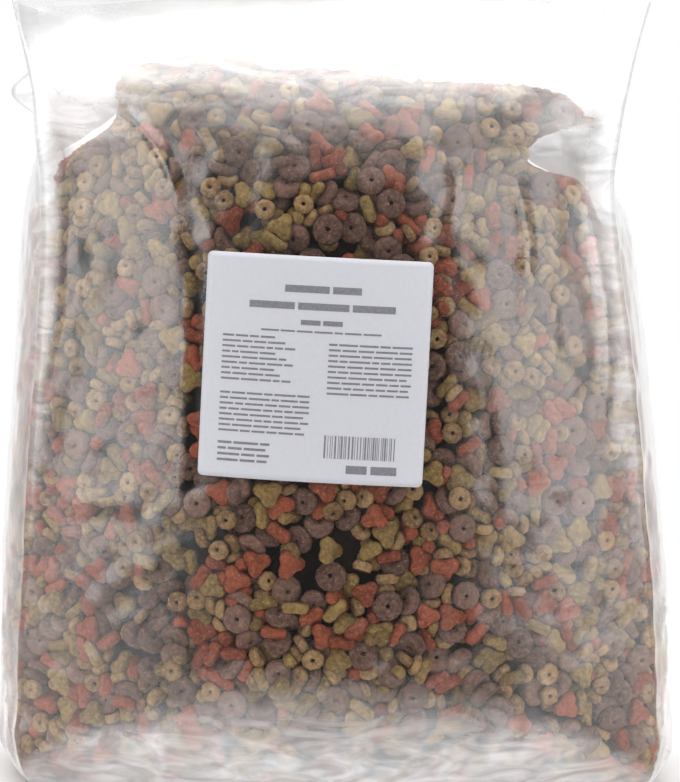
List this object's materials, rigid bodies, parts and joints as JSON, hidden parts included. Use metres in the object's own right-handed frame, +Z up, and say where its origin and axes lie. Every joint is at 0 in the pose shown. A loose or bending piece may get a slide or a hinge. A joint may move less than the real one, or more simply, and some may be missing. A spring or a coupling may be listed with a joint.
{
  "type": "pet food bag",
  "caption": "Clear side-gusseted film bag of mixed dry pet food, open at the top, with a square paper label on its front.",
  "frame": {"origin": "on the floor, under the middle of the base", "axes": "+Z up, front panel towards -Y, +X to the right seen from the front"},
  "size_m": [0.3481, 0.2469, 0.4043],
  "materials": {
    "film": "clear, slightly hazy polyethylene film",
    "label_paper": "smooth white paper with pale grey print as bars",
    "food_bulk": "dry and grainy",
    "food_brown": "dry and grainy, brown",
    "food_tan": "dry and grainy, tan",
    "food_red": "dry and grainy, brick red",
    "food_green": "dry and grainy, olive"
  },
  "bodies": {
    "root": {"film_bag": "film", "label": "label_paper", "kibble_fill": "food_bulk", "brown_disc_1": "food_brown", "brown_disc_2": "food_brown", "brown_disc_3": "food_brown", "brown_disc_4": "food_brown", "brown_disc_5": "food_brown", "brown_disc_6": "food_brown", "brown_disc_7": "food_brown", "brown_disc_8": "food_brown", "tan_ring_1": "food_tan", "tan_ring_2": "food_tan", "tan_ring_3": "food_tan", "tan_ring_4": "food_tan", "tan_ring_5": "food_tan", "tan_ring_6": "food_tan", "tan_ring_7": "food_tan", "tan_ring_8": "food_tan", "red_clover_1": "food_red", "red_clover_2": "food_red", "red_clover_3": "food_red", "red_clover_4": "food_red", "red_clover_5": "food_red", "red_clover_6": "food_red", "red_clover_7": "food_red", "red_clover_8": "food_red", "green_clover_1": "food_green", "green_clover_2": "food_green", "green_clover_3": "food_green", "green_clover_4": "food_green", "green_clover_5": "food_green", "green_clover_6": "food_green", "green_clover_7": "food_green", "green_clover_8": "food_green"}
  },
  "joints": []
}
